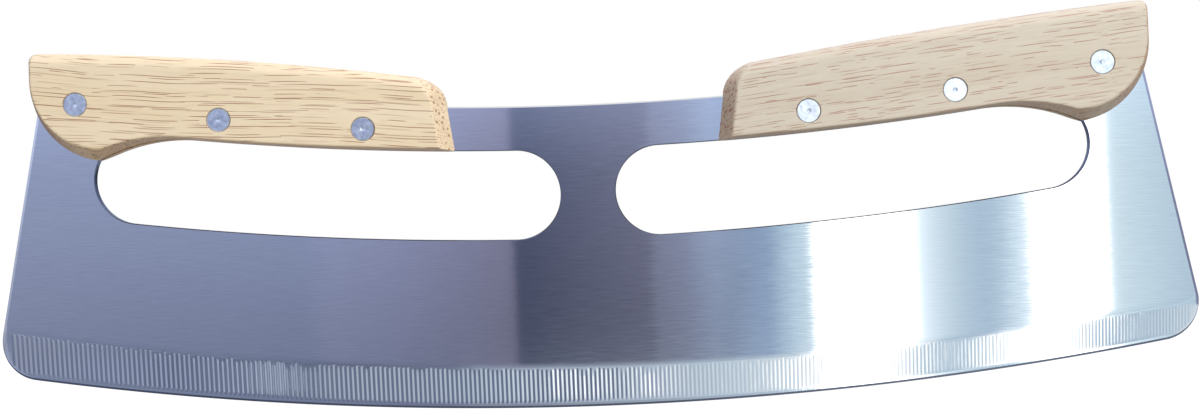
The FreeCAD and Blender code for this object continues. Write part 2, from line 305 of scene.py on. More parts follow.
def nearest_on_slot(points, radius):
    """Each point led to the hand slot's rim. The slot is a bar of even width bent about the rocking centre,
    so the point finds the nearest place on the slot's middle arc and goes back out by the rim's radius."""
    away = points - rocking_centre
    angle = np.clip(np.arctan2(away[:, 0], -away[:, 1]), *slot_angles)
    middle = rocking_centre + slot_line_radius * np.stack([np.sin(angle), -np.cos(angle)], axis=1)
    return middle + radius * unit(points - middle)


brushed, ground, honed_shaded = range(3)


def plate_half(side, band):
    """Half of the plate above its ground edge: both flat faces between slot and outline, and the broken
    edges and walls of both. It is drawn for the right hand and mirrored for the left."""
    sign = {"left": -1, "right": 1}[side]
    shoulder = band[-1][:, [0, 2]][::sign] * [sign, 1]
    shoulder = shoulder[shoulder[:, 0] >= 0]
    at = handle_corners(side, lug_inset, lug_inset, lug_inset)
    rising = flank(side)[1]
    top = np.array([0, rocking_radius - bar_top_radius])
    rim = np.concatenate([rising, arc(at["hook"], rising[-1], at["side_foot"], rim_points["hook"])[1:-1],
                          *palm_side(at),
                          np.linspace(at["end_top"], at["bar_meet"], rim_points["lug_end"])[1:],
                          arc(rocking_centre, at["bar_meet"], top, rim_points["bar"])[1:]])
    heading = unit(np.gradient(rim, axis=0))
    width = np.where(np.arange(len(rim)) < len(rising) - 1, side_break, edge_break)[:, None]
    inset = rim + width * np.stack([-heading[:, 1], heading[:, 0]], axis=1)
    inset[0], inset[-1, 0] = shoulder[-2], 0
    centre_line = np.linspace(inset[-1], shoulder[0], rim_points["middle"])[1:-1]
    outline = np.concatenate([shoulder[:-2], inset, centre_line])
    slot_wide = nearest_on_slot(outline, slot_end_radius + slot_break)
    slot_wall = nearest_on_slot(outline, slot_end_radius)
    face, inside = half_thickness, half_thickness - edge_break
    surfaces = [
        (np.stack([lift(slot_wide, -face), lift(outline, -face)]), True, brushed),
        (np.stack([lift(slot_wide, face), lift(outline, face)]), True, brushed),
        # The slot walls take the honed steel, painted dark as shade.
        (np.stack([lift(slot_wide, -face), lift(slot_wall, slot_break - face),
                   lift(slot_wall, face - slot_break), lift(slot_wide, face)]), True, honed_shaded),
        (np.stack([lift(inset, -face), lift(rim, -inside), lift(rim, inside), lift(inset, face)]),
         False, brushed),
    ]
    return [(grid * [sign, 1, 1], closed, finish) for grid, closed, finish in surfaces]


merge_reach, sliver_reach = 1e-6, 1e-7


def closed_piece(name, surfaces, materials, crease=np.radians(35)):
    """One mesh from grids of points in millimetres, each open or closed along its rows and with the number
    of its finish. Shared rims are merged, faces turn outwards, and edges past the crease stay crisp."""
    points, quads, finishes, start = [], [], [], 0
    for grid, closed, finish in surfaces:
        rows, columns = grid.shape[:2]
        number = start + np.arange(rows * columns).reshape(rows, columns)
        if closed:
            number = np.concatenate([number, number[:, :1]], axis=1)
        quad = np.stack([number[:-1, :-1], number[:-1, 1:], number[1:, 1:], number[1:, :-1]], axis=-1)
        quad = quad.reshape(-1, 4)
        points.append(grid.reshape(-1, 3))
        quads.append(quad)
        finishes.append(np.full(len(quad), finish))
        start += rows * columns
    mesh = bpy.data.meshes.new(name)
    mesh.from_pydata((np.concatenate(points) * mm).tolist(), [], np.concatenate(quads).tolist())
    for material in materials:
        mesh.materials.append(material)
    mesh.polygons.foreach_set("material_index", np.concatenate(finishes))
    merged = bmesh.new()
    merged.from_mesh(mesh)
    bmesh.ops.remove_doubles(merged, verts=merged.verts, dist=merge_reach)
    bmesh.ops.dissolve_degenerate(merged, edges=merged.edges, dist=sliver_reach)
    bmesh.ops.recalc_face_normals(merged, faces=merged.faces)
    merged.to_mesh(mesh)
    merged.free()
    mesh.shade_smooth()
    mesh.set_sharp_from_angle(angle=crease)
    piece = bpy.data.objects.new(name, mesh)
    bpy.context.scene.collection.objects.link(piece)
    return piece


def paint(code):
    """An sRGB hex colour as the linear red, green, blue and alpha that shaders take."""
    srgb = np.array([int(code[place:place + 2], 16) for place in (1, 3, 5)]) / 255
    return (*np.where(srgb <= 0.04045, srgb / 12.92, ((srgb + 0.055) / 1.055)**2.4), 1.0)


def add_node(tree, kind, sockets=None, **settings):
    """Adds a shader node with its settings. Its sockets are set to values or linked to other nodes' outputs,
    or to the first output where a whole node is given."""
    node = tree.nodes.new("ShaderNode" + kind)
    for name, value in settings.items():
        setattr(node, name, value)
    for name, value in (sockets or {}).items():
        if isinstance(value, bpy.types.Node):
            value = value.outputs[0]
        if isinstance(value, bpy.types.NodeSocket):
            tree.links.new(value, node.inputs[name])
        else:
            node.inputs[name].default_value = value
    return node


def new_material(name):
    """An empty material with its output node, as (material, node tree, output node)."""
    material = bpy.data.materials.new(name)
    material.use_nodes = True
    material.node_tree.nodes.clear()
    return material, material.node_tree, add_node(material.node_tree, "OutputMaterial")


# Brushed stainless steel: belt-ground along the blade, so reflections smear upright and fine lines run
# along it. Each line tips the surface a little, which frays the upright edges of what it mirrors.
# The lines are drawn coarser than real ones so that they show.
brush_line_length, brush_line_width = 7.0, 0.22
brush_tilt = 0.0025
brushed_tones = "#D3D5DB", "#E1E3E7"
brushed_roughness = {"To Min": 0.075, "To Max": 0.095}
noise_range = {"From Min": 0.3, "From Max": 0.7}
mix_a, mix_b, mix_out = 6, 7, 2


def tipped_normal(tree, pattern, tilt):
    """The normal plus a lean along the blade, which a pattern takes from minus to plus the tilt."""
    lean = add_node(tree, "MapRange", {"Value": pattern, **noise_range, "To Min": -tilt, "To Max": tilt})
    tipped = add_node(tree, "VectorMath", {
        0: add_node(tree, "NewGeometry").outputs["Normal"],
        1: add_node(tree, "CombineXYZ", {"X": lean})}, operation="ADD")
    return add_node(tree, "VectorMath", {0: tipped}, operation="NORMALIZE")


steel, tree, output = new_material("brushed_stainless_steel")
lines = add_node(tree, "TexNoise", {
    "Vector": add_node(tree, "Mapping", {
        "Vector": add_node(tree, "TexCoord").outputs["Object"],
        "Scale": tuple(1 / (size * mm) for size in (brush_line_length, brush_line_length, brush_line_width)),
    }), "Scale": 1.0, "Detail": 3.0, "Roughness": 0.65}).outputs["Fac"]
tone = add_node(tree, "Mix", {
    "Factor": add_node(tree, "MapRange", {"Value": lines, **noise_range}),
    mix_a: paint(brushed_tones[0]), mix_b: paint(brushed_tones[1])}, data_type="RGBA")
shader = add_node(tree, "BsdfPrincipled", {
    "Base Color": tone.outputs[mix_out], "Metallic": 1.0, "Anisotropic": 1.0,
    "Roughness": add_node(tree, "MapRange", {"Value": lines, **noise_range, **brushed_roughness}),
    "Normal": tipped_normal(tree, lines, brush_tilt),
    "Tangent": add_node(tree, "Tangent", direction_type="UV_MAP", uv_map="brushing")})
tree.links.new(shader.outputs[0], output.inputs[0])

# Cross-ground stainless steel: the wheel's fresh cut is brighter than the brushed faces, with fine upright
# strokes that tip the surface a little to either side.
stroke_length, stroke_width = 8.0, 0.3
stroke_tilt = 0.006
ground_tone = "#E3E5E8"
ground_roughness = {"To Min": 0.07, "To Max": 0.11}
ground_steel, tree, output = new_material("cross_ground_stainless_steel")
strokes = add_node(tree, "TexNoise", {
    "Vector": add_node(tree, "Mapping", {
        "Vector": add_node(tree, "TexCoord").outputs["Object"],
        "Scale": tuple(1 / (size * mm) for size in (stroke_width, stroke_length, stroke_length)),
    }), "Scale": 1.0, "Detail": 2.0}).outputs["Fac"]
shader = add_node(tree, "BsdfPrincipled", {
    "Base Color": paint(ground_tone), "Metallic": 1.0, "Normal": tipped_normal(tree, strokes, stroke_tilt),
    "Roughness": add_node(tree, "MapRange", {"Value": strokes, **noise_range, **ground_roughness})})
tree.links.new(shader.outputs[0], output.inputs[0])

# Honed stainless steel: the very tip, honed on a fine stone, and the punched walls of the hand slots.
# Neither is brushed. Their colour is painted dark as shade, so they show as thin dark lines.
grit_size = 0.4
honed_shade_tones = "#626878", "#7A8090"
honed_roughness = {"To Min": 0.22, "To Max": 0.32}
honed_shaded_steel, tree, output = new_material("honed_stainless_steel_painted_shade")
grit = add_node(tree, "TexNoise", {"Vector": add_node(tree, "TexCoord").outputs["Object"],
                                   "Scale": 1 / (grit_size * mm), "Detail": 2.0}).outputs["Fac"]
tone = add_node(tree, "Mix", {"Factor": grit, mix_a: paint(honed_shade_tones[0]), mix_b: paint(honed_shade_tones[1])},
                data_type="RGBA")
shader = add_node(tree, "BsdfPrincipled", {
    "Base Color": tone.outputs[mix_out], "Metallic": 1.0,
    "Roughness": add_node(tree, "MapRange", {"Value": grit, **noise_range, **honed_roughness})})
tree.links.new(shader.outputs[0], output.inputs[0])

band, flute_end = ground_band()
# The lowest rows at the tip and the tip's underside take the honed steel, painted dark as shade.
tip_rows = 2
level_face = 0.999999
front = [(band[:tip_rows + 1], False, honed_shaded), (band[tip_rows:flute_end + 1], False, ground),
         (band[flute_end:], False, brushed)]
rear = [(grid * [1, -1, 1], closed, finish) for grid, closed, finish in front]
blade = closed_piece("brushed_blade", [
    *front, *rear, (np.stack([band[0], band[0] * [1, -1, 1]]), False, honed_shaded),
    *plate_half("left", band), *plate_half("right", band)], [steel, ground_steel, honed_shaded_steel])
normals = np.empty(3 * len(blade.data.polygons))
blade.data.polygons.foreach_get("normal", normals)
blade.data.polygons.foreach_set("use_smooth", np.abs(normals[1::3]) < level_face)
corners = np.empty(len(blade.data.loops), int)
blade.data.loops.foreach_get("vertex_index", corners)
spots = np.empty(3 * len(blade.data.vertices))
blade.data.vertices.foreach_get("co", spots)
across = spots.reshape(-1, 3)[corners][:, [2, 0]] / (2 * half_width * mm)
blade.data.uv_layers.new(name="brushing").data.foreach_set("uv", across.ravel())
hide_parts("blade")
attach(blade, "root")

# The scales are four pieces of pale hardwood: each handle has one before and one behind the blade's lug.
# They are sawn to one outline with raked ends, rounded over along the palm side, sanded and oiled,
# and counterbored for the rivets that clamp them to the lug.
scale_face = -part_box("right_front_scale")[0][1] / mm
scale_thickness = scale_face - half_thickness
palm_round = 4.0
face_round = 0.6
face_margin = 0.3
head_hole_radius, head_hole_break = 3.55, 0.15
head_seat = 6.5
shank_hole_radius = 2.55
wall_level = 0.8
round_steps = np.radians(np.arange(0, 91, 9))
cut_points = 14
one_finish = 0
rivet_names = ("inner", "middle", "outer")
rivet_places = {side: [np.abs((low + high) / 2 / mm)[[0, 2]] for low, high in (
    map(np.array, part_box(f"{side}_{name}_rivet_post")) for name in rivet_names)] for side in crowns}


def handle_path(side, ends_in, top_in, grip_in):
    """The handle's whole outline from its heel: grip, finger curve, hook, palm side and inner end, and the
    numbers at which the hook, the crown and the inner corner begin."""
    at = handle_corners(side, ends_in, top_in, grip_in)
    finger_side = [arc(rocking_centre, at["heel"], at["grip_end"], outline_points["grip"])[:-1],
                   arc(at["finger_centre"], at["grip_end"], at["tip"], outline_points["finger"])[:-1]]
    hook = arc(at["hook"], at["tip"], at["side_foot"], outline_points["hook"])[:-1]
    palm = palm_side(at)
    inner_end = np.linspace(at["end_top"], at["heel"], outline_points["inner_end"])[1:-1]
    starts = np.cumsum([sum(map(len, finger_side)), len(hook) + len(palm[0]) + len(palm[1]), len(palm[2])])
    return np.concatenate([*finger_side, hook, *palm, inner_end]), starts


def rings_round_rivets(path, cuts):
    """The outline parted into a closed ring round each rivet, by straight cuts from finger side to crown."""
    (low_1, high_1), (low_2, high_2) = cuts
    steps = np.linspace(0, 1, cut_points)[1:-1, None]
    cut_1, cut_2 = (path[low] + (path[high] - path[low]) * steps for low, high in cuts)
    return [np.concatenate([path[high_1:], path[:low_1 + 1], cut_1]),
            np.concatenate([path[low_1:low_2 + 1], cut_2, path[high_2:high_1 + 1], cut_1[::-1]]),
            np.concatenate([path[low_2:high_2 + 1], cut_2[::-1]])]


def scale_surfaces(side, face):
    """A scale as a raked profile carried round the outline: at each level from lug to front the ends draw in
    by their rake, the palm side by a quarter round and all edges by a small one. Rings lead to the holes."""
    from_front = np.concatenate([[scale_thickness, scale_thickness * wall_level],
                                 palm_round * (1 - np.sin(round_steps))])
    drawn_in = [radius - np.sqrt(radius**2 - np.clip(radius - from_front, 0, None)**2)
                for radius in (face_round, palm_round)]
    raked = 1 - from_front / scale_thickness
    levels = np.stack([handle_path(side, end_rake * share + small, large, grip_rake * share + small)[0]
                       for share, small, large in zip(raked, *drawn_in)])
    margin, starts = handle_path(side, end_rake + face_round + face_margin, palm_round + face_margin,
                                 grip_rake + face_round + face_margin)
    wall = np.stack([lift(path, from_front[row] - scale_face) for row, path in enumerate(levels)])
    surfaces = [(wall, True, one_finish), (np.stack([wall[-1], lift(margin, -scale_face)]), True, one_finish)]
    places = rivet_places[side]
    between = [(places[0][0] + places[1][0]) / 2, (places[1][0] + places[2][0]) / 2]
    cuts = [(int(np.argmin(np.abs(margin[:starts[0], 0] - x))),
             int(starts[1] + np.argmin(np.abs(margin[starts[1]:starts[2], 0] - x)))) for x in between]
    hole = [(head_hole_radius + head_hole_break, scale_face),
            (head_hole_radius, scale_face - head_hole_break), (head_hole_radius, head_seat),
            (shank_hole_radius, head_seat), (shank_hole_radius, half_thickness)]
    rings, backs = rings_round_rivets(margin, cuts), rings_round_rivets(levels[0], cuts)
    for place, ring, back in zip(places, rings, backs):
        out = unit(ring - place)
        rows = [lift(ring, -scale_face)]
        rows += [lift(place + out * radius, -depth) for radius, depth in hole]
        rows += [lift(back, -half_thickness)]
        surfaces.append((np.stack(rows), True, one_finish))
    sign = np.array([{"left": -1, "right": 1}[side], {"front": 1, "rear": -1}[face], 1])
    return [(grid * sign, closed, finish) for grid, closed, finish in surfaces]


# Oiled rubberwood: pale and straight in the grain, with open vessels that show as thin brown lines along it
# and as dots on the cut ends. Patterns are sized along, through and up the handle, and vessels and pores
# are drawn coarser than real ones so that they show.
wave_length = 40.0
zone_size, fibre_size, end_pore_size = (80.0, 5.0, 5.0), (9.0, 0.35, 0.35), (6.0, 1.5, 1.5)
zone_range = {"From Min": 0.35, "From Max": 0.68}
fibre_marks = {"From Min": 0.5, "From Max": 0.75, "To Max": 0.12}
vessel_layers = ((1.0, 0.0, 0.4), (0.45, 40.0, 0.5))
vessel_depth, vessel_blur = 1.1, 0.3
vessel_rim = {"From Min": 1.15, "From Max": 0.75}
pore_rim = {"From Min": 0.34, "From Max": 0.26, "To Max": 0.7}
# Walls turned this far to the left or right take the end tints and pores: end grain's tone, with painted
# shade.
end_grain_and_shade_turns = 0.3, 0.85
groove_strength, groove_depth = 0.5, 0.08
wood_ior = 1.48
wood_roughness = {"To Min": 0.46, "To Max": 0.6}


def oiled_hardwood(name, pale, warm, vessel, end_grain_and_shade_tints, grain_lean, sway, vessel_length, vessel_width,
                   vessel_spacing, vessel_strength):
    """Rubberwood as a material. Vessels are thin ellipses, one to a cell of a stretched Voronoi pattern.
    Each layer has its share of their length, its start, and the least value of the cells that it keeps."""
    material, tree, output = new_material(name)
    place = add_node(tree, "Mapping", {"Vector": add_node(tree, "TexCoord").outputs["Object"],
                                       "Rotation": (0, grain_lean, 0), "Scale": (1 / mm,) * 3})
    waves = add_node(tree, "TexNoise", {"Vector": place, "Scale": 1 / wave_length, "Detail": 1.0})
    lifted = add_node(tree, "VectorMath", {0: waves.outputs["Color"], 1: (-0.5, -0.5, -0.5)}, operation="ADD")
    wavy = add_node(tree, "VectorMath", {0: lifted, 1: (0, 1, sway), 2: place}, operation="MULTIPLY_ADD")
    zone_place, fibre_place, pore_place = (
        add_node(tree, "VectorMath", {0: wavy, 1: tuple(1 / size for size in sizes)}, operation="MULTIPLY")
        for sizes in (zone_size, fibre_size, end_pore_size))
    zones = add_node(tree, "TexNoise", {"Vector": zone_place, "Scale": 1.0, "Detail": 2.0}).outputs["Fac"]
    fibres = add_node(tree, "TexNoise", {"Vector": fibre_place, "Scale": 1.0, "Detail": 2.0}).outputs["Fac"]
    pores = add_node(tree, "TexVoronoi", {"Vector": pore_place, "Scale": 1.0}).outputs["Distance"]
    body = add_node(tree, "Mix", {
        "Factor": add_node(tree, "MapRange", {"Value": zones, **zone_range}),
        mix_a: paint(pale), mix_b: paint(warm)}, data_type="RGBA")
    fibred = add_node(tree, "Mix", {
        "Factor": add_node(tree, "MapRange", {"Value": fibres, **fibre_marks}),
        mix_a: body.outputs[mix_out], mix_b: paint(vessel)}, data_type="RGBA")
    marks = None
    for share, start, least in vessel_layers:
        cell = (vessel_length * share, vessel_width * vessel_depth, vessel_spacing)
        scaled = add_node(tree, "VectorMath", {0: wavy, 1: tuple(1 / size for size in cell), 2: (start,) * 3},
                          operation="MULTIPLY_ADD")
        cells = add_node(tree, "TexVoronoi", {"Vector": scaled, "Scale": 1.0})
        off = add_node(tree, "VectorMath", {0: scaled, 1: cells.outputs["Position"]}, operation="SUBTRACT")
        squared = add_node(tree, "VectorMath", {0: off, 1: off}, operation="MULTIPLY")
        stretch = (4.0, 0.0, (2 * vessel_spacing / vessel_width)**2)
        ellipse = add_node(tree, "VectorMath", {0: squared, 1: stretch}, operation="DOT_PRODUCT")
        line = add_node(tree, "MapRange", {"Value": ellipse.outputs["Value"], **vessel_rim})
        kept = add_node(tree, "MapRange", {
            "Value": add_node(tree, "SeparateColor", {"Color": cells.outputs["Color"]}),
            "From Min": least, "From Max": least + vessel_blur, "To Max": vessel_strength})
        mark = add_node(tree, "Math", {0: line, 1: kept}, operation="MULTIPLY")
        if marks is not None:
            mark = add_node(tree, "Math", {0: marks, 1: mark}, operation="MAXIMUM")
        marks = mark
    grain_and_painted_shade = add_node(tree, "Mix", {"Factor": marks, mix_a: fibred.outputs[mix_out], mix_b: paint(vessel)},
                     data_type="RGBA")
    # Walls facing left or right are multiplied by a tint and dotted with pores. The pores and part of the
    # tint are end grain. The rest of the tint is painted shade, strongest on the left handle's left-facing
    # walls, which face away from the main lamp.
    facing = add_node(tree, "SeparateXYZ", {"Vector": add_node(tree, "NewGeometry").outputs["Normal"]})
    pored = add_node(tree, "MapRange", {"Value": pores, **pore_rim})
    for way, tint in zip((-1, 1), end_grain_and_shade_tints):
        end_grain_and_shade_share = add_node(tree, "MapRange", {"Value": facing, "From Min": end_grain_and_shade_turns[0] * way,
                                              "From Max": end_grain_and_shade_turns[1] * way})
        grain_and_painted_shade = add_node(tree, "Mix", {"Factor": end_grain_and_shade_share, mix_a: grain_and_painted_shade.outputs[mix_out], mix_b: paint(tint)},
                         data_type="RGBA", blend_type="MULTIPLY")
        dotted = add_node(tree, "Math", {0: end_grain_and_shade_share, 1: pored}, operation="MULTIPLY")
        grain_and_painted_shade = add_node(tree, "Mix", {"Factor": dotted, mix_a: grain_and_painted_shade.outputs[mix_out], mix_b: paint(vessel)},
                         data_type="RGBA")
    grooves = add_node(tree, "Bump", {
        "Height": add_node(tree, "Math", {0: 1.0, 1: marks}, operation="SUBTRACT"),
        "Strength": groove_strength, "Distance": groove_depth * mm})
    shader = add_node(tree, "BsdfPrincipled", {
        "Base Color": grain_and_painted_shade.outputs[mix_out], "IOR": wood_ior, "Normal": grooves,
        "Roughness": add_node(tree, "MapRange", {"Value": fibres, **noise_range, **wood_roughness})})
    tree.links.new(shader.outputs[0], output.inputs[0])
    return material


# Each wood's end tints, for walls facing left and then right, hold end grain's tone and painted shade. The
# left handle's dark left-facing tint is mostly painted shade.
scale_wood = {
    "left": oiled_hardwood(
        "oiled_rubberwood_yellow", pale="#E2D9C0", warm="#DDD2B5", vessel="#84461F",
        end_grain_and_shade_tints=("#A8907C", "#FFFAF4"), grain_lean=np.radians(-4.5), sway=3.5, vessel_length=26.0,
        vessel_width=0.21, vessel_spacing=1.4, vessel_strength=0.85),
    "right": oiled_hardwood(
        "oiled_rubberwood_rose", pale="#C6C4B8", warm="#C0BCAE", vessel="#8E543C",
        end_grain_and_shade_tints=("#F4E6DA", "#E0CCB8"), grain_lean=np.radians(6.0), sway=2.0, vessel_length=13.0,
        vessel_width=0.27, vessel_spacing=1.5, vessel_strength=0.6),
}
for side in crowns:
    for face in ("front", "rear"):
        scale = closed_piece(f"{side}_{face}_wooden_scale", scale_surfaces(side, face), [scale_wood[side]])
        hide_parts(f"{side}_{face}_scale")
        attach(scale, "root")

# The rivets are two-part cutlery rivets of soft aluminium, turned, then pressed together through wood and
# lug. Their heads lie flush in the scales' counterbores, and the press leaves them dimpled and mottled.
head_radius, head_bevel = 3.5, 0.25
post_radius, bore_radius, sleeve_radius = 1.7, 1.75, 2.5
bore_end_room = 0.6
dimple_radius, dimple_depth, flat_radius = 0.9, 0.2, 2.2
turning_steps, dimple_steps = 72, 9
mottle_size, mottle_depth = 1.6, 0.12
mottle_range = {"From Min": 0.35, "From Max": 0.65}
aluminium_tones = "#C4C9D0", "#EEF1F3"
aluminium_roughness = {"To Min": 0.28, "To Max": 0.42}

aluminium, tree, output = new_material("pressed_aluminium")
mottle = add_node(tree, "TexNoise", {
    "Vector": add_node(tree, "TexCoord").outputs["Object"], "Scale": 1 / (mottle_size * mm), "Detail": 3.0,
    "Roughness": 0.6}).outputs["Fac"]
tone = add_node(tree, "Mix", {
    "Factor": add_node(tree, "MapRange", {"Value": mottle, **mottle_range}),
    mix_a: paint(aluminium_tones[0]), mix_b: paint(aluminium_tones[1])}, data_type="RGBA")
shader = add_node(tree, "BsdfPrincipled", {
    "Base Color": tone.outputs[mix_out], "Metallic": 1.0,
    "Roughness": add_node(tree, "MapRange", {"Value": mottle, **noise_range, **aluminium_roughness}),
    "Normal": add_node(tree, "Bump", {"Height": mottle, "Strength": 1.0, "Distance": mottle_depth * mm})})
tree.links.new(shader.outputs[0], output.inputs[0])


def turned(profile, place):
    """A profile of radius and depth turned once round an axis that goes through the blade at a place."""
    angle = np.linspace(0, 2 * np.pi, turning_steps, endpoint=False)
    radius, depth = profile[:, :1], np.broadcast_to(profile[:, 1:], (len(profile), turning_steps))
    return np.stack([place[0] + radius * np.cos(angle), depth, place[1] + radius * np.sin(angle)], axis=-1)


def head_profile():
    """A flush head from its middle out: a cosine dimple, the flat, and the bevelled rim down to its seat."""
    radius = np.linspace(0, dimple_radius, dimple_steps)
    sunk = dimple_depth * (1 + np.cos(np.pi * radius / dimple_radius)) / 2
    rim = [[flat_radius, scale_face], [head_radius - head_bevel, scale_face],
           [head_radius, scale_face - head_bevel], [head_radius, head_seat]]
    return np.vstack([np.stack([radius, scale_face - sunk], axis=1), rim])


for side, sign in (("left", -1), ("right", 1)):
    for name, place in zip(rivet_names, rivet_places[side]):
        tip, mouth = (box[end][1] / mm for box, end in ((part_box(f"{side}_{name}_rivet_post"), 1),
                                                        (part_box(f"{side}_{name}_rivet_sleeve"), 0)))
        post = np.vstack([head_profile() * [1, -1],
                          [[post_radius, -head_seat], [post_radius, tip], [0, tip]]])
        bore_end = tip + bore_end_room
        sleeve = np.vstack([head_profile(), [[sleeve_radius, head_seat], [sleeve_radius, mouth],
                                             [bore_radius, mouth], [bore_radius, bore_end], [0, bore_end]]])
        for half, profile in (("post", post), ("sleeve", sleeve)):
            rivet = closed_piece(f"{side}_{name}_pressed_{half}",
                                 [(turned(profile, place * [sign, 1]), True, one_finish)], [aluminium])
            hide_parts(f"{side}_{name}_rivet_{half}")
            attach(rivet, "root")

# The camera stands close in front of the middle of the knife, a little above the middle of its height.
# Its turn, tilt and roll put the knife where it is in the picture, which is 1200 pixels wide.
camera_place = np.array([0.0114, -0.3421, 0.0562])
camera_turn, camera_tilt, camera_roll = np.radians([-1.35, -0.58, -2.23])
picture_width, focal_pixels = 1200, 1150
sensor_width = 36.0

turn = np.array([[np.cos(camera_turn), -np.sin(camera_turn), 0],
                 [np.sin(camera_turn), np.cos(camera_turn), 0], [0, 0, 1]])
pitch = np.array([[1, 0, 0], [0, np.cos(camera_tilt), -np.sin(camera_tilt)],
                  [0, np.sin(camera_tilt), np.cos(camera_tilt)]])
roll = np.array([[np.cos(camera_roll), 0, np.sin(camera_roll)], [0, 1, 0],
                 [-np.sin(camera_roll), 0, np.cos(camera_roll)]])
right, ahead, up = roll @ pitch @ turn
camera = bpy.data.objects.new("camera", bpy.data.cameras.new("camera"))
camera.data.sensor_width = sensor_width
camera.data.sensor_fit = "HORIZONTAL"
camera.data.lens = sensor_width * focal_pixels / picture_width
camera.data.clip_start = 0.01
frame_of_view = np.eye(4)
frame_of_view[:3] = np.stack([right, up, -ahead, camera_place], axis=1)
camera.matrix_world = Matrix(frame_of_view.tolist())
bpy.context.scene.collection.objects.link(camera)
bpy.context.scene.camera = camera

# The floor is a wide sheet of white paper under the knife's edge. It shows white where no shadow falls, and
# gives the wood a warm light from below. The steel mirrors the tent beyond it rather than the sheet.
floor_reach = 3000.0
paper_glow = 0.965
paper_seen, paper_warm = "#565656", "#9C8C78"
floor_paper, tree, output = new_material("white_paper")
seen = add_node(tree, "LightPath").outputs["Is Camera Ray"]
glow = add_node(tree, "Emission", {"Color": paint("#FFFFFF"), "Strength": add_node(
    tree, "Math", {0: seen, 1: paper_glow}, operation="MULTIPLY")})
paper = add_node(tree, "BsdfDiffuse", {"Color": add_node(tree, "Mix", {
    "Factor": seen, mix_a: paint(paper_warm), mix_b: paint(paper_seen)}, data_type="RGBA").outputs[mix_out]})
tree.links.new(add_node(tree, "AddShader", {0: paper, 1: glow}).outputs[0], output.inputs[0])
sheet = np.array([[[-1, -1, 0], [1, -1, 0]], [[-1, 1, 0], [1, 1, 0]]]) * floor_reach
floor = closed_piece("floor", [(sheet, False, one_finish)], [floor_paper])
floor.visible_glossy = False

# A round tent of cloth for the steel to mirror: lavender panels on the left, a dark one at the camera, two
# windows between blue panels on the right, and lower cloths that the ground edge mirrors. Below is the
# floor's tone, above a glow from the ceiling. The tent gives no light and casts no shadow.
tent_radius, tent_low, tent_high = 700.0, -2500.0, 3000.0
tent_columns = 180
tent_front = np.radians(45)
# Panels are placed by where the blade first mirrors them to the camera, in millimetres along the blade, and
# sides and low cloths by degrees round the tent. Windows and cloths lit by them also have a strength.
tent_panels = [
    (-190, "#A1ABCA"), (-86, "#9CA7C8"), (-78, "#A4ACCE"), (-60, "#9FA6C8"), (-23.5, "#908FAA"),
    (-22, "#555C77"), (17.3, "#7E8098"), (18.7, "#9196AE"), (28, "#9DA5C0"), (36, "#AFBEDB"),
    (52, "#9CB4D2"), (60, "#D2ECFB"), (65.2, "#D8F0FB"), (66.6, "#FFFFFF", 3.0), (94.4, "#FFFFFF", 3.0),
    (95.8, "#E8F6FC", 1.45), (99, "#E6F5FC", 1.28), (103, "#DEF0F9", 1.14), (108, "#D6ECF8"),
    (114, "#C4DCEF"), (119, "#C5DDEF"), (122, "#CCE2F0", 1.12), (125.5, "#D2E6F0", 1.3),
    (129.2, "#E4F1F6", 1.38), (130.6, "#FFFFFF", 3.0), (151, "#FFFFFF", 3.0), (152.4, "#E4F9FF", 1.1),
    (185, "#BED7EA")]
tent_sides = [
    (-180, "#8A8FA6"), (-165, "#B0B6CC"), (-60, "#BEC6DE"), (-45, "#C0C8E0"), (45, "#C6DDEE"),
    (58, "#9FA6C4"), (75, "#8C90AC"), (105, "#80849E"), (130, "#6A6A80"), (165, "#3C3B4A"), (180, "#8A8FA6")]
low_cloths = [
    (-44, "#A2ACC9"), (-41.5, "#BCC5DC"), (-40.3, "#B4BDD6"), (-39.7, "#707A94"), (-27, "#747E98"),
    (-21, "#667088"), (-12.4, "#78829A"), (-11, "#A2ACC2"), (-8, "#A6B0C4"), (-5, "#B4BED0"),
    (0, "#BAC6D5"), (5, "#C4D4E2"), (9, "#D0DFEB"), (11, "#DAE8F2"), (13.4, "#E4F0F7"),
    (14.3, "#FFFFFF", 1.6), (21.8, "#FFFFFF", 1.6), (23, "#E8F3FA"), (24, "#ACC8DD"), (25.4, "#BED6E8"),
    (27, "#DCEBF5"), (27.9, "#FFFFFF", 1.6), (34.5, "#FFFFFF", 1.6), (35.4, "#E0EEF7"), (36.3, "#A8C3D9"),
    (38.2, "#B4CCDF"), (40, "#D8E7F1"), (43, "#E4F0F7")]
# The panels fade downwards by these shares of their light at these heights, but for those on the right.
tent_heights = [(-100, 0.65), (-45, 0.7), (70, 1.0), (250, 1.0)]
fading_ends, even_begins = 19.0, 50.0
low_cloth_foot, low_cloth_top = (-400.0, -280.0), (-115.0, -98.0)
ceiling_foot, overhead_foot = (100.0, 200.0), (500.0, 900.0)
floor_tone, ceiling_glow, overhead_glow = "#B4B9C6", "#7E8AA4", "#B4AEAC"


def tent_angle(x):
    """The way round the tent, from straight ahead, where the camera's sight line lands once the blade at x
    has mirrored it: the line from x away from the camera's mirror image, followed to the tent's circle."""
    lean = (x - camera_place[0] / mm) / (camera_place[1] / mm + half_thickness)
    reach = (x * lean + np.sqrt((1 + lean**2) * tent_radius**2 - x**2)) / (1 + lean**2)
    return np.arctan2(x - reach * lean, reach)


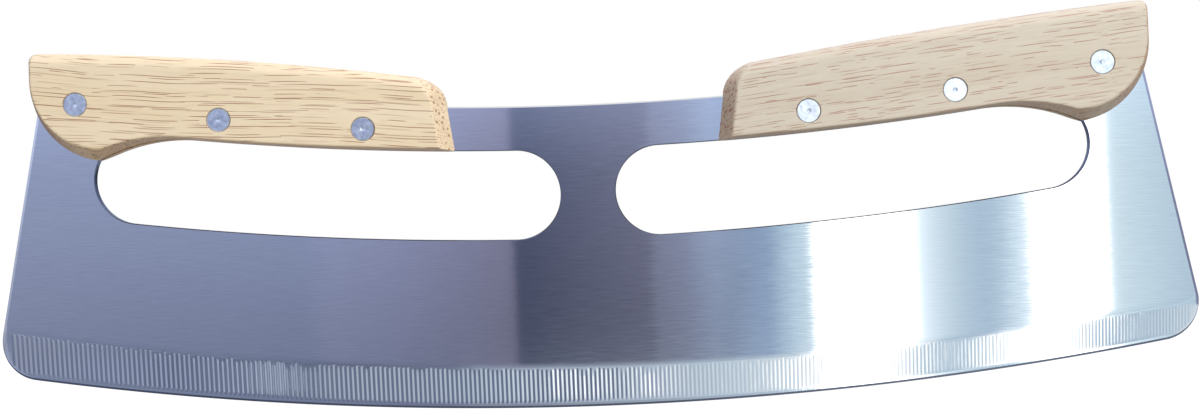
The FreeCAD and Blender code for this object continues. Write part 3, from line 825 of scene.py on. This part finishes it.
tent_cloth, tree, output = new_material("tent_panels")
place = add_node(tree, "SeparateXYZ", {"Vector": add_node(tree, "TexCoord").outputs["Object"]})
ahead_of = add_node(tree, "Math", {0: place.outputs["Y"], 1: -1.0}, operation="MULTIPLY")
angle = add_node(tree, "Math", {0: place.outputs["X"], 1: ahead_of}, operation="ARCTAN2")
round_about = add_node(tree, "MapRange", {"Value": angle, "From Min": -np.pi, "From Max": np.pi})
lowest, highest = tent_heights[0][0], tent_heights[-1][0]
upwards = add_node(tree, "MapRange", {"Value": place.outputs["Z"], "From Min": lowest * mm,
                                      "From Max": highest * mm})
across_front = add_node(tree, "MapRange", {"Value": angle, "From Min": -tent_front, "From Max": tent_front})
panels = add_node(tree, "ValToRGB", {"Fac": across_front})
low_row = add_node(tree, "ValToRGB", {"Fac": across_front})
sides = add_node(tree, "ValToRGB", {"Fac": round_about})
falling_off = add_node(tree, "ValToRGB", {"Fac": upwards})
for ramp, stops in (
        (panels, [((tent_angle(x) / tent_front + 1) / 2, *light) for x, *light in tent_panels]),
        (low_row, [((np.radians(degrees) / tent_front + 1) / 2, *light) for degrees, *light in low_cloths]),
        (sides, [((degrees / 180 + 1) / 2, *light) for degrees, *light in tent_sides]),
        (falling_off, [((z - lowest) / (highest - lowest), "#FFFFFF", share) for z, share in tent_heights])):
    while len(ramp.color_ramp.elements) < len(stops):
        ramp.color_ramp.elements.new(0.5)
    for stop, (position, colour, *strength) in zip(ramp.color_ramp.elements, stops):
        stop.position, stop.color = position, np.array(paint(colour)) * np.prod(strength)
off_middle = add_node(tree, "Math", {0: angle}, operation="ABSOLUTE")
at_side = add_node(tree, "Math", {0: off_middle, 1: tent_front}, operation="GREATER_THAN")
all_round = add_node(tree, "Mix", {"Factor": at_side, mix_a: panels, mix_b: sides}, data_type="RGBA")
even = add_node(tree, "MapRange", {"Value": angle, "From Min": tent_angle(fading_ends),
                                   "From Max": tent_angle(even_begins)})
evened = add_node(tree, "Math", {0: falling_off, 1: even}, operation="MAXIMUM")
lit = add_node(tree, "VectorMath", {0: all_round.outputs[mix_out], 1: evened}, operation="MULTIPLY")
foot, top, ceiling, overhead = (
    add_node(tree, "MapRange", {"Value": place.outputs["Z"], "From Min": low * mm, "From Max": high * mm})
    for low, high in (low_cloth_foot, low_cloth_top, ceiling_foot, overhead_foot))
low_lit = add_node(tree, "Mix", {"Factor": foot, mix_a: paint(floor_tone), mix_b: low_row}, data_type="RGBA")
lit = add_node(tree, "Mix", {"Factor": top, mix_a: low_lit.outputs[mix_out], mix_b: lit}, data_type="RGBA")
for share, tone in ((ceiling, ceiling_glow), (overhead, overhead_glow)):
    lit = add_node(tree, "Mix", {"Factor": share, mix_a: lit.outputs[mix_out], mix_b: paint(tone)},
                   data_type="RGBA", blend_type="ADD")
tree.links.new(add_node(tree, "Emission", {"Color": lit.outputs[mix_out]}).outputs[0], output.inputs[0])
round_tent = np.linspace(0, 2 * np.pi, tent_columns, endpoint=False)
ring = tent_radius * np.stack([np.cos(round_tent), np.sin(round_tent)], axis=1)
wall = np.stack([np.column_stack([ring, np.full(len(ring), height)]) for height in (tent_low, tent_high)])
tent = closed_piece("tent", [(wall, True, one_finish)], [tent_cloth])
tent.visible_camera = tent.visible_diffuse = tent.visible_shadow = tent.visible_transmission = False

# Soft light: a pale sky all round and four large lamps, at the front right, at the front left, above with a
# rosy light on the handles' tops, and behind. The steel mirrors none of them, and past the tent plain white.
sky_tone, sky_strength = "#F4F6FF", 0.33
lamps = [("front_right", (0.7, -0.9, 0.6), 0.6, 13.5, "#FFFAF4"),
         ("front_left", (-0.9, -0.7, 0.35), 0.6, 3.0, "#FFFAF4"),
         ("above", (0.25, -0.05, 1.2), 0.7, 8.0, "#FFE6E4"),
         ("behind", (-0.5, 1.0, 0.6), 0.7, 11.0, "#FFFAF4")]
lamp_aim = 0, 0, 0.08

world = bpy.data.worlds.new("studio")
world.use_nodes = True
tree = world.node_tree
tree.nodes.clear()
ray = add_node(tree, "LightPath").outputs
plain = add_node(tree, "Math", {0: ray["Is Camera Ray"], 1: ray["Is Glossy Ray"]}, operation="MAXIMUM")
plain = add_node(tree, "Math", {0: plain, 1: ray["Is Transmission Ray"]}, operation="MAXIMUM")
sky = add_node(tree, "Background", {"Color": paint(sky_tone), "Strength": sky_strength})
white = add_node(tree, "Background", {"Color": paint("#FFFFFF"), "Strength": 1.0})
mixed = add_node(tree, "MixShader", {0: plain, 1: sky, 2: white})
add_node(tree, "OutputWorld", {0: mixed})
bpy.context.scene.world = world

for name, place, width, power, colour in lamps:
    light = bpy.data.lights.new(name, "AREA")
    light.size, light.energy, light.color = width, power, paint(colour)[:3]
    lamp = bpy.data.objects.new(name, light)
    back = unit(np.subtract(place, lamp_aim))
    side_on = unit(np.cross([0, 1.0, 0], back))
    stand = np.eye(4)
    stand[:3] = np.stack([side_on, np.cross(back, side_on), back, place], axis=1)
    lamp.matrix_world = Matrix(stand.tolist())
    lamp.visible_glossy = False
    bpy.context.scene.collection.objects.link(lamp)

# Colours show as they are written.
bpy.context.scene.view_settings.view_transform = "Standard"
